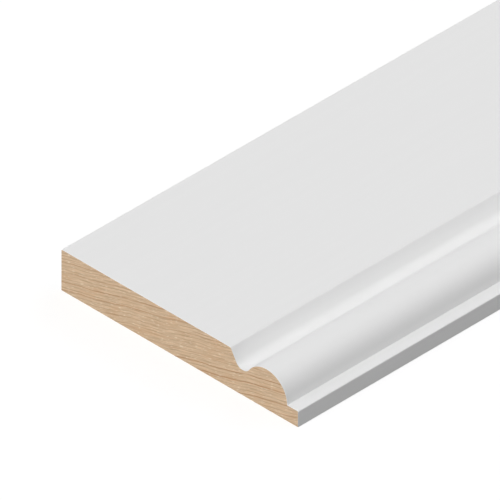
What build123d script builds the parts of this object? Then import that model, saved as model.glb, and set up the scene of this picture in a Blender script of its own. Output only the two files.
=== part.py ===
"""Ogee skirting board: one length of solid softwood moulding, lying on its back face.

X runs across the board, from the floor edge to the lip, Y runs along it, and Z points out of its back.
The origin is the middle of the back face. All sizes are in millimetres.
"""

import math
import os

from build123d import *

# The sawn and planed board
board_length = 2400.0
board_width = 120.0
board_thickness = 18.0

# The square lip along the top edge of the fitted board
lip_width = 5.5
lip_height = 7.0

# The half-round bead beside the lip: its crown lies a little below the flat face
bead_drop = 0.5

# The cove between the bead and the flat face, with its straight wall up to that face
cove_depth = 6.9
cove_radius = 3.75
cove_wall_angle = 60.0

# Easing of the three outer edges of the moulded face
arris_radius = 0.4

# The bead is struck from the level of the lip, so that it meets the lip square
floor_edge_x = -board_width / 2
lip_edge_x = board_width / 2
bead_foot_x = lip_edge_x - lip_width
bead_radius = board_thickness - lip_height - bead_drop
bead_centre = Vector(bead_foot_x - bead_radius, lip_height)

# The cove touches the bead from outside, so their centres lie the sum of their radii apart
cove_centre_z = board_thickness - cove_depth + cove_radius
centre_rise = cove_centre_z - bead_centre.Y
centre_run = math.sqrt((bead_radius + cove_radius) ** 2 - centre_rise**2)
cove_centre = Vector(bead_centre.X - centre_run, cove_centre_z)
bead_to_cove = math.degrees(math.atan2(centre_rise, -centre_run))

# The wall runs off the cove as a tangent and ends where it reaches the flat face
wall_to_cove = 180.0 + 90.0 - cove_wall_angle
wall_foot = cove_centre + Vector(cove_radius, 0).rotate(Axis.Z, wall_to_cove)
wall_run = (board_thickness - wall_foot.Y) / math.tan(math.radians(cove_wall_angle))
wall_head = Vector(wall_foot.X - wall_run, board_thickness)

with BuildPart() as skirting_board:
    # The section, seen from the near end: local X is across the board, local Y is its thickness
    with BuildSketch(Plane.XZ) as section:
        with BuildLine():
            face = Polyline(
                (floor_edge_x, 0),
                (floor_edge_x, board_thickness),
                wall_head,
                wall_foot,
            )
            cove_turn = bead_to_cove + 180.0 - wall_to_cove
            CenterArc(cove_centre, cove_radius, wall_to_cove, cove_turn)
            bead = CenterArc(bead_centre, bead_radius, bead_to_cove, -bead_to_cove)
            Polyline(
                bead @ 1,
                (lip_edge_x, lip_height),
                (lip_edge_x, 0),
                face @ 0,
            )
        make_face()
        face_arrises = section.vertices().group_by(Axis.Y)[-1]
        lip_arris = section.vertices().group_by(Axis.X)[-1].sort_by(Axis.Y)[-1]
        fillet([*face_arrises, lip_arris], radius=arris_radius)
    extrude(amount=board_length / 2, both=True)

skirting_board.part.label = "skirting_board"

os.makedirs("parts", exist_ok=True)
export_step(skirting_board.part, "parts/skirting_board.step")
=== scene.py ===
import math

import bpy
import numpy as np
from mathutils import Matrix, Vector


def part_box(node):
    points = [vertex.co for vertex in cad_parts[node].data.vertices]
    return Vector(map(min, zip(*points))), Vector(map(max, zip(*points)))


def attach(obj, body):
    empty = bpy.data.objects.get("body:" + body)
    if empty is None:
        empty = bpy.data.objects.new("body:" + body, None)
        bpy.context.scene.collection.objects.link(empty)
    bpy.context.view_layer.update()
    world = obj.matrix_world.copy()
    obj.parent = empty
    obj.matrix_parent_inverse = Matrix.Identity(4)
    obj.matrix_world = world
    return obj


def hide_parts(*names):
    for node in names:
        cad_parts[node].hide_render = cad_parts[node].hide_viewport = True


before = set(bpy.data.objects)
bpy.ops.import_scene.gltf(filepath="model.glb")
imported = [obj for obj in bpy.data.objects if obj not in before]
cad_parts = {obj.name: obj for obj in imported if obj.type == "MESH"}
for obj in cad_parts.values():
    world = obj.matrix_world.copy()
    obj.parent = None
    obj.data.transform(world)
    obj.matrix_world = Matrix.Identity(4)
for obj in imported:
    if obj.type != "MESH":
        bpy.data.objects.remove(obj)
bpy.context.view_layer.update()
mm = 0.001
boardLow, boardHigh = (np.array(corner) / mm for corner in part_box("skirting_board"))
boardWidth, boardLength, boardThickness = boardHigh - boardLow
print(f"frame loaded: board {boardWidth:.0f} x {boardLength:.0f} x {boardThickness:.0f} mm")


def linearColour(hexCode):
    # sRGB hex to linear: a straight piece near black, a power of 2.4 above it
    srgb = np.array([int(hexCode[i:i + 2], 16) for i in (1, 3, 5)]) / 255
    linear = np.where(srgb <= 0.04045, srgb / 12.92, ((srgb + 0.055) / 1.055) ** 2.4)
    return (*linear, 1.0)


def addNode(tree, kind, inputs=None, **settings):
    # One shader node with its settings; an input that is a socket gets linked, any other is a value
    node = tree.nodes.new("ShaderNode" + kind)
    for name, value in settings.items():
        setattr(node, name, value)
    for name, value in (inputs or {}).items():
        if isinstance(value, bpy.types.NodeSocket):
            tree.links.new(value, node.inputs[name])
        else:
            node.inputs[name].default_value = value
    return node


# The softwood that the board is sawn from, in mm. Ring heights are above the back, at half the width.
softwood = {
    "ringSlope": 0.27,  # rise of the rings towards the lip, for each mm across
    "rings": (  # height of each dark late-wood line, and how dark it is
        (28.8, 0.35),
        (24.3, 0.35),
        (20.0, 0.6),
        (16.5, 0.65),
        (12.0, 0.3),
        (8.1, 0.25),
        (4.4, 0.3),
        (0.8, 0.75),
        (-2.6, 0.84),
        (-7.8, 0.68),
        (-12.1, 0.45),
    ),
    "ringFade": 0.55,  # below its line the late wood sets in slowly
    "fadePower": 2.0,  # over 1, so that it darkens most near its line
    "ringEdge": 0.2,  # above it the next year's early wood starts sharply
    "ringWidth": 0.3,  # of the faint yearly rings and of the ridges on the sawn ends
    "yearWidth": 1.4,  # from one faint yearly ring to the next
    "waves": (  # wave length across, along and up the board, and height of the wave
        (12.3, 900.0, 40.0, 0.07),
        (31.0, 2300.0, 90.0, 0.2),
        (5.3, 410.0, 17.0, 0.03),
    ),
    "fibreLength": 150.0,  # how far a mark runs along the board
    "markDetail": 2.0,  # finer octaves of the noise that draws the marks
    # What the grain draws on the end: length along the rings, width across them,
    # the noise where a mark sets in and where it is full, and how much it is there
    "marks": {
        "streaks": (8.0, 0.34, 0.3, 0.7, 1.0),
        "drift": (30.0, 4.0, 0.0, 1.0, 1.6),  # the last in mm: how far the faint rings stray
        "yearBreaks": (9.0, 0.9, 0.3, 0.65, 1.0),
        "ringBreaks": (9.0, 0.9, 0.15, 0.45, 1.0),
        "flecks": (2.4, 0.5, 0.58, 0.68, 0.8),
        "patches": (12.0, 5.0, 0.5, 0.75, 0.4),
    },
}


def ringPlace(x, y, z):
    # Height over the back less the slope of the rings times x, plus the waves, each a sine of x, y and z
    place = z - softwood["ringSlope"] * x
    for across, lengthwise, up, height in softwood["waves"]:
        place = place + height * np.sin(math.tau * (x / across + y / lengthwise + z / up))
    return place


# The moulded board. Sizes in mm, angles in degrees.
board = {
    "lipWidth": 5.5,
    "lipHeight": 7.0,
    "beadDrop": 0.5,  # from the flat face down to the crown of the bead
    "coveDepth": 6.9,
    "coveRadius": 3.75,
    "coveWallAngle": 60.0,
    "arrisRadius": 0.4,
    "endEasing": 0.1,  # radius worn onto the sawn edges
    "endStrip": 0.4,  # narrow faces beside that, so that its shading stays off the long faces
    "ringRelief": 0.05,  # how far the hardest ring would stand out of the sawn ends
    "sharpAngle": 40.0,  # edges that turn by more are shaded sharp
    "gridStep": 0.3,
    "arcSteps": 6,  # fewest steps of an arc
    "easingSteps": 3,
    "rowCount": 72,
    "spanCount": 16,
    "joinDecimals": 6,  # points that agree to so many decimals are one
    "mapStrips": {  # bottom and top of each side on the bake map
        "nearEnd": (0.0, 0.16),
        "farEnd": (0.17, 0.33),
        "back": (0.34, 0.63),
        "floorEdge": (0.64, 0.69),
        "face": (0.70, 0.94),
        "lipEdge": (0.95, 1.0),
    },
}


def mouldedOutline():
    # Upper outline of the section, floor edge to lip edge: arcs joined by straight runs, divided evenly
    half = boardWidth / 2
    easing = board["arrisRadius"]
    wallTurn = board["coveWallAngle"]
    beadRadius = boardThickness - board["lipHeight"] - board["beadDrop"]
    beadFoot = half - board["lipWidth"]
    beadMiddle = np.array((beadFoot - beadRadius, board["lipHeight"]))
    # The cove touches the bead, so their middles lie the sum of their radii apart
    coveHeight = boardThickness - board["coveDepth"] + board["coveRadius"]
    rise = coveHeight - board["lipHeight"]
    run = math.sqrt((beadRadius + board["coveRadius"]) ** 2 - rise**2)
    coveMiddle = np.array((beadMiddle[0] - run, coveHeight))
    meeting = math.degrees(math.atan2(rise, -run))
    # The straight wall leaves the cove as a tangent and ends at the flat face
    wallFoot = coveMiddle - board["coveRadius"] * np.array(
        (math.sin(math.radians(wallTurn)), math.cos(math.radians(wallTurn)))
    )
    wallHead = wallFoot[0] - (boardThickness - wallFoot[1]) / math.tan(math.radians(wallTurn))
    easedHead = wallHead - easing * math.tan(math.radians(wallTurn / 2))
    arcs = (  # middle, radius, first and last angle
        ((easing - half, boardThickness - easing), easing, 180, 90),
        ((easedHead, boardThickness - easing), easing, 90, 90 - wallTurn),
        (coveMiddle, board["coveRadius"], 270 - wallTurn, meeting + 180),
        (beadMiddle, beadRadius, meeting, 0),
        ((half - easing, board["lipHeight"] - easing), easing, 90, 0),
    )
    pieces = []
    for middle, radius, first, last in arcs:
        arcLength = radius * math.radians(abs(last - first))
        steps = max(board["arcSteps"], math.ceil(arcLength / board["gridStep"]))
        turn = np.radians(np.linspace(first, last, steps + 1))
        curve = np.column_stack((middle[0] + radius * np.cos(turn), middle[1] + radius * np.sin(turn)))
        if pieces:
            gap = curve[0] - pieces[-1][-1]
            steps = max(1, math.ceil(np.hypot(*gap) / board["gridStep"]))
            share = np.linspace(0, 1, steps + 1)[1:-1, None]
            pieces.append(pieces[-1][-1] + share * gap)
            if np.hypot(*gap) < 10 ** -board["joinDecimals"]:  # this arc starts where the last one ended
                curve = curve[1:]
        pieces.append(curve)
    return np.concatenate([piece for piece in pieces if len(piece)])


def inwardMitre(outline):
    # At each point the sum of the two neighbouring normals over one plus their product,
    # so that both of the runs that meet there shift by the same amount
    run = np.diff(outline, axis=0)
    normal = np.column_stack((run[:, 1], -run[:, 0])) / np.linalg.norm(run, axis=1)[:, None]
    before = np.concatenate((normal[:1], normal))
    after = np.concatenate((normal, normal[-1:]))
    return (before + after) / (1 + (before * after).sum(1))[:, None]


outline = mouldedOutline()
inward = inwardMitre(outline)

# Stations of the sweep: a quarter round and a narrow strip at each end, and even spans between them
quarter = np.linspace(0, math.pi / 2, board["easingSteps"] + 1)
easedPlace = board["ringRelief"] + board["endEasing"] * (1 - np.cos(quarter))
easedInset = board["endEasing"] * (1 - np.sin(quarter))
endFaces = board["ringRelief"] + board["endEasing"] + board["endStrip"]
spans = np.linspace(boardLow[1] + endFaces, boardHigh[1] - endFaces, board["spanCount"] + 1)
along = np.concatenate((boardLow[1] + easedPlace, spans, boardHigh[1] - easedPlace[::-1]))
inset = np.concatenate((easedInset, np.zeros(len(spans)), easedInset[::-1]))
endSide = np.zeros(len(along))  # which way the sawn end faces, and 0 between the ends
endSide[[0, -1]] = -1, 1
print(f"section outline: {len(outline)} points, {len(along)} stations along the board")


def boardPoints(columns, heights, stations):
    # x and z: the outline's point, pulled in along its mitre by the station's inset
    # z is then taken times the share of the height, from 0 at the back to 1 at the outline
    # y: the station's place, and on the sawn ends as far out as the dark rings stand there
    x = outline[columns, 0] + inward[columns, 0] * inset[stations]
    z = heights * (outline[columns, 1] + inward[columns, 1] * inset[stations])
    place = ringPlace(x, along[stations], z)
    hard = np.zeros_like(place)
    for height, strength in softwood["rings"]:
        hard = np.maximum(hard, strength * np.exp(-(((place - height) / softwood["ringWidth"]) ** 2)))
    y = along[stations] + endSide[stations] * board["ringRelief"] * hard
    return np.stack(np.broadcast_arrays(x, y, z), axis=-1)


paint, sawnEnd, planedBack = range(3)  # places in the board's list of finishes


def makeBoard(name):
    # Six grids, one for each face of a box that is bent to the section, with their shared borders joined
    columns = np.arange(len(outline))[:, None]
    heights = np.linspace(0, 1, board["rowCount"] + 1)
    upright = heights[:, None]
    stations = np.arange(len(along))
    lengthShare = (along - boardLow[1]) / boardLength
    acrossShare = (outline[:, :1] - boardLow[0]) / boardWidth
    paced = np.concatenate(([0], np.linalg.norm(np.diff(outline, axis=0), axis=1).cumsum()))[:, None]
    sides = (  # strip of the bake map, points, places along and up that strip, turned round, finish
        ("face", boardPoints(columns, 1.0, stations), lengthShare, paced / paced[-1], False, paint),
        ("floorEdge", boardPoints(0, upright, stations), lengthShare, upright, False, paint),
        ("lipEdge", boardPoints(-1, upright, stations), lengthShare, upright, True, paint),
        ("back", boardPoints(columns, 0.0, stations), lengthShare, acrossShare, True, planedBack),
        ("nearEnd", boardPoints(columns, heights, 0), acrossShare, heights, False, sawnEnd),
        ("farEnd", boardPoints(columns, heights, -1), acrossShare, heights, True, sawnEnd),
    )
    points, faces, maps, finishes = [], [], [], []
    start = 0
    for strip, grid, mapAlong, mapUp, turned, finish in sides:
        tall, wide = grid.shape[:2]
        index = start + np.arange(tall * wide).reshape(tall, wide)
        corners = (index[:-1, :-1], index[1:, :-1], index[1:, 1:], index[:-1, 1:])
        quads = np.stack(corners, axis=-1).reshape(-1, 4)
        points.append(grid.reshape(-1, 3))
        faces.append(quads[:, ::-1] if turned else quads)
        low, high = board["mapStrips"][strip]
        place = np.broadcast_arrays(mapAlong, low + (high - low) * mapUp)
        maps.append(np.stack(place, axis=-1).reshape(-1, 2))
        finishes.append(np.full(len(quads), finish))
        start += tall * wide
    points, faces, maps, finishes = (np.concatenate(part) for part in (points, faces, maps, finishes))
    places, joined = np.unique(points.round(board["joinDecimals"]) * mm, axis=0, return_inverse=True)

    mesh = bpy.data.meshes.new(name)
    mesh.from_pydata(places, [], joined.reshape(-1)[faces])
    mesh.polygons.foreach_set("material_index", finishes.astype(np.int32))
    bakeMap = mesh.uv_layers.new(name="OFBake")
    bakeMap.data.foreach_set("uv", maps[faces.reshape(-1)].astype(np.float32).reshape(-1))
    mesh.shade_smooth()
    mesh.set_sharp_from_angle(angle=math.radians(board["sharpAngle"]))
    piece = bpy.data.objects.new(name, mesh)
    bpy.context.scene.collection.objects.link(piece)
    print(f"{name}: {len(places)} vertices, {len(faces)} quads")
    return piece


# Sprayed satin acrylic: a close white film with faint lay lines along the board and a soft, wide shine
paintLook = {
    "white": "#EFEFEF",
    "shade": "#EDEDED",
    "roughness": (0.44, 0.52),  # where the film is white and where it is shaded
    "ior": 1.48,
    "lineWidth": 2.5,  # mm; real lay lines are finer, drawn this coarse so that they can show
    "lineLength": 90.0,
    "lineDepth": 0.006,
    "lineDetail": 2.0,  # finer octaves of the noise that draws the lines
}


def satinPaint(name):
    material = bpy.data.materials.new(name)
    material.use_nodes = True
    tree = material.node_tree
    shader = tree.nodes["Principled BSDF"]
    place = addNode(tree, "TexCoord").outputs["Object"]
    pace = [1 / (paintLook[size] * mm) for size in ("lineWidth", "lineLength", "lineWidth")]
    drawn = addNode(tree, "VectorMath", {0: place, 1: pace}, operation="MULTIPLY").outputs[0]
    lines = {"Vector": drawn, "Scale": 1.0, "Detail": paintLook["lineDetail"]}
    film = addNode(tree, "TexNoise", lines).outputs["Fac"]
    shade, white = (linearColour(paintLook[tone]) for tone in ("shade", "white"))
    tint = addNode(tree, "Mix", {"Factor": film, "A": shade, "B": white}, data_type="RGBA")
    low, high = paintLook["roughness"]
    gloss = addNode(tree, "MapRange", {"Value": film, "To Min": high, "To Max": low})
    bump = addNode(tree, "Bump", {"Height": film, "Distance": paintLook["lineDepth"] * mm})
    tree.links.new(tint.outputs["Result"], shader.inputs["Base Color"])
    tree.links.new(gloss.outputs["Result"], shader.inputs["Roughness"])
    tree.links.new(bump.outputs["Normal"], shader.inputs["Normal"])
    shader.inputs["IOR"].default_value = paintLook["ior"]
    return material


# Bare pine: pale tan early wood with fine streaks, thin brown late-wood rings and short light flecks
sawnLook = {
    "dark": "#CBAF8E",  # early wood between the streaks
    "light": "#EBCCAA",  # and on them
    "warm": "#D9AC80",  # in patches
    "fleck": "#F2DFC5",
    "year": "#98724A",
    "ring": "#A66A36",
    "faint": 0.5,  # how much the faint yearly rings cover
    "roughness": 0.75,
    "ior": 1.5,
    "grainDepth": 0.03,  # mm
}
planedLook = {
    "dark": "#CFB18C",
    "light": "#DEC6A5",
    "warm": "#D4AC7E",
    "fleck": "#E6D0B0",
    "year": "#B08A62",
    "ring": "#B08A62",
    "faint": 0.4,
    "roughness": 0.55,
    "ior": 1.5,
    "grainDepth": 0.01,
}


def barePine(name, look):
    material = bpy.data.materials.new(name)
    material.use_nodes = True
    tree = material.node_tree
    shader = tree.nodes["Principled BSDF"]
    place = addNode(tree, "TexCoord").outputs["Object"]
    placeMm = addNode(tree, "VectorMath", {0: place, "Scale": 1 / mm}, operation="SCALE").outputs[0]
    split = addNode(tree, "SeparateXYZ", {0: placeMm}).outputs

    # The same sum of slope and waves as ringPlace
    slope = {0: split["X"], 1: -softwood["ringSlope"], 2: split["Z"]}
    height = addNode(tree, "Math", slope, operation="MULTIPLY_ADD").outputs[0]
    for across, lengthwise, up, waveHeight in softwood["waves"]:
        pace = [math.tau / length for length in (across, lengthwise, up)]
        angle = addNode(tree, "VectorMath", {0: placeMm, 1: pace}, operation="DOT_PRODUCT").outputs["Value"]
        wave = addNode(tree, "Math", {0: angle}, operation="SINE").outputs[0]
        waved = {0: wave, 1: waveHeight, 2: height}
        height = addNode(tree, "Math", waved, operation="MULTIPLY_ADD").outputs[0]
    ringFrame = addNode(tree, "CombineXYZ", {"X": split["X"], "Y": split["Y"], "Z": height}).outputs[0]

    def grainMarks(kind):
        # Noise drawn out along the rings and the fibres: 0 where it is under low, full where it is over high
        length, width, low, high, full = softwood["marks"][kind]
        pace = [1 / length, 1 / softwood["fibreLength"], 1 / width]
        drawn = addNode(tree, "VectorMath", {0: ringFrame, 1: pace}, operation="MULTIPLY").outputs[0]
        grain = {"Vector": drawn, "Scale": 1.0, "Detail": softwood["markDetail"]}
        noise = addNode(tree, "TexNoise", grain).outputs["Fac"]
        spread = {"Value": noise, "From Min": low, "From Max": high, "To Max": full}
        return addNode(tree, "MapRange", spread).outputs["Result"]

    # Faint yearly rings, which stray up and down and are broken up along their length
    strayed = addNode(tree, "Math", {0: height, 1: grainMarks("drift")}, operation="ADD").outputs[0]
    off = addNode(tree, "Math", {0: strayed, 1: softwood["yearWidth"] / 2}, operation="PINGPONG").outputs[0]
    fade = {"Value": off, "From Max": softwood["ringWidth"], "To Min": look["faint"], "To Max": 0.0}
    faint = addNode(tree, "MapRange", fade, interpolation_type="SMOOTHSTEP").outputs["Result"]
    faint = addNode(tree, "Math", {0: faint, 1: grainMarks("yearBreaks")}, operation="MULTIPLY").outputs[0]

    # Bold rings: a power of how far the late wood has set in, up to the line where it ends
    bold = 0.0
    for ringHeight, strength in softwood["rings"]:
        off = addNode(tree, "Math", {0: height, 1: ringHeight}, operation="SUBTRACT").outputs[0]
        rise = {"Value": off, "From Min": -softwood["ringFade"], "From Max": 0.0}
        rise = addNode(tree, "MapRange", rise).outputs["Result"]
        rise = addNode(tree, "Math", {0: rise, 1: softwood["fadePower"]}, operation="POWER").outputs[0]
        edge = {"Value": off, "From Max": softwood["ringEdge"], "To Min": strength, "To Max": 0.0}
        edge = addNode(tree, "MapRange", edge, interpolation_type="SMOOTHSTEP").outputs["Result"]
        line = addNode(tree, "Math", {0: rise, 1: edge}, operation="MULTIPLY").outputs[0]
        bold = addNode(tree, "Math", {0: bold, 1: line}, operation="MAXIMUM").outputs[0]
    bold = addNode(tree, "Math", {0: bold, 1: grainMarks("ringBreaks")}, operation="MULTIPLY").outputs[0]

    # Each layer of colour covers the ones before it where its marks are
    streaks = grainMarks("streaks")
    colour = linearColour(look["dark"])
    for layer, cover in (
        ("light", streaks),
        ("warm", grainMarks("patches")),
        ("fleck", grainMarks("flecks")),
        ("year", faint),
        ("ring", bold),
    ):
        layered = {"Factor": cover, "A": colour, "B": linearColour(look[layer])}
        colour = addNode(tree, "Mix", layered, data_type="RGBA").outputs["Result"]
    bump = addNode(tree, "Bump", {"Height": streaks, "Distance": look["grainDepth"] * mm})
    tree.links.new(colour, shader.inputs["Base Color"])
    tree.links.new(bump.outputs["Normal"], shader.inputs["Normal"])
    shader.inputs["Roughness"].default_value = look["roughness"]
    shader.inputs["IOR"].default_value = look["ior"]
    return material


paintedBoard = makeBoard("painted_board")
for finish in (  # in the order of paint, sawnEnd and planedBack
    satinPaint("satin_acrylic_sprayed"),
    barePine("pine_end_sawn", sawnLook),
    barePine("pine_back_planed", planedLook),
):
    paintedBoard.data.materials.append(finish)
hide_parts("skirting_board")
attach(paintedBoard, "root")
print("board finished")

# Pale floor and soft studio light
studio = {
    "floorSize": 40.0,  # m
    "floorBounce": "#787878",  # what the floor gives back to the board
    "floorShown": "#A0A0A0",  # what the camera sees of the lit floor, which keeps the shadow
    "floorGlow": 0.725,  # added for the camera, so that the floor shows white
    "domeColour": "#FFFFFF",
    "domeShown": 1.0,  # what the camera sees of the dome, where 1 is white
    "domeLight": 0.12,  # what the dome gives to the board
    "lamps": {  # where the light comes from, W per square metre, and degrees across a wide soft source
        "front_light": ((0.0, -0.8, 0.6), 2.53, 60.0),
        "back_light": ((0.0, 0.95, 0.3), 1.0, 60.0),
        "left_light": ((-0.9, 0.0, 0.42), 0.25, 60.0),
        "back_right_light": ((0.5, 0.6, 0.6), 0.69, 60.0),
    },
}


def seenDirectly(tree):
    # 1 for the rays that show a surface to the eye: straight from the camera, mirrored or through glass
    rays = addNode(tree, "LightPath").outputs
    seen = addNode(tree, "Math", {0: rays["Is Camera Ray"], 1: rays["Is Glossy Ray"]}, operation="MAXIMUM")
    seen = addNode(tree, "Math", {0: seen.outputs[0], 1: rays["Is Transmission Ray"]}, operation="MAXIMUM")
    return seen.outputs[0]


def makeFloor():
    half = studio["floorSize"] / 2
    mesh = bpy.data.meshes.new("studio_floor")
    corners = [(-half, -half, 0), (half, -half, 0), (half, half, 0), (-half, half, 0)]
    mesh.from_pydata(corners, [], [(0, 1, 2, 3)])
    floor = bpy.data.objects.new("studio_floor", mesh)
    bpy.context.scene.collection.objects.link(floor)
    material = bpy.data.materials.new("pale_floor")
    material.use_nodes = True
    tree = material.node_tree
    tree.nodes.remove(tree.nodes["Principled BSDF"])
    lit = addNode(tree, "BsdfDiffuse", {"Color": linearColour(studio["floorBounce"])})
    shown = addNode(tree, "BsdfDiffuse", {"Color": linearColour(studio["floorShown"])})
    glow = addNode(tree, "Emission", {"Strength": studio["floorGlow"]})
    shown = addNode(tree, "AddShader", {0: shown.outputs[0], 1: glow.outputs[0]})
    both = addNode(tree, "MixShader", {0: seenDirectly(tree), 1: lit.outputs[0], 2: shown.outputs[0]})
    tree.links.new(both.outputs[0], tree.nodes["Material Output"].inputs["Surface"])
    mesh.materials.append(material)


def makeLight():
    world = bpy.data.worlds.new("studio_dome")
    bpy.context.scene.world = world
    world.use_nodes = True
    tree = world.node_tree
    white = linearColour(studio["domeColour"])
    lit = addNode(tree, "Background", {"Strength": studio["domeLight"], "Color": white})
    shown = addNode(tree, "Background", {"Strength": studio["domeShown"], "Color": white})
    both = addNode(tree, "MixShader", {0: seenDirectly(tree), 1: lit.outputs[0], 2: shown.outputs[0]})
    tree.links.new(both.outputs[0], tree.nodes["World Output"].inputs["Surface"])
    for name, (source, power, width) in studio["lamps"].items():
        light = bpy.data.lights.new(name, "SUN")
        light.energy = power
        light.angle = math.radians(width)
        lamp = bpy.data.objects.new(name, light)
        lamp.rotation_euler = Vector(source).to_track_quat("Z", "Y").to_euler()
        bpy.context.scene.collection.objects.link(lamp)


# A long lens, because the photograph's edges stay parallel. Sizes in mm, angles in degrees.
view = {
    "lens": 1700.0,
    "frameWidth": 180.15,
    "aimAcross": -11.77,  # from the middle of the board
    "aimAlong": 47.96,  # from the near end
    "azimuth": 44.47,
    "elevation": 35.14,
    "roll": 0.42,
}


def makeCamera():
    camera = bpy.data.cameras.new("camera")
    camera.lens = view["lens"]
    aim = Vector((view["aimAcross"], boardLow[1] + view["aimAlong"], boardThickness)) * mm
    azimuth, elevation, roll = (math.radians(view[angle]) for angle in ("azimuth", "elevation", "roll"))
    back = Vector((
        math.sin(azimuth) * math.cos(elevation),
        -math.cos(azimuth) * math.cos(elevation),
        math.sin(elevation),
    ))
    distance = view["frameWidth"] * mm * camera.lens / camera.sensor_width
    turn = back.to_track_quat("Z", "Y").to_matrix() @ Matrix.Rotation(roll, 3, "Z")
    holder = bpy.data.objects.new("camera", camera)
    holder.matrix_world = Matrix.Translation(aim + back * distance) @ turn.to_4x4()
    bpy.context.scene.collection.objects.link(holder)
    bpy.context.scene.camera = holder


makeFloor()
makeLight()
makeCamera()
bpy.context.scene.view_settings.view_transform = "Standard"
print("studio ready")
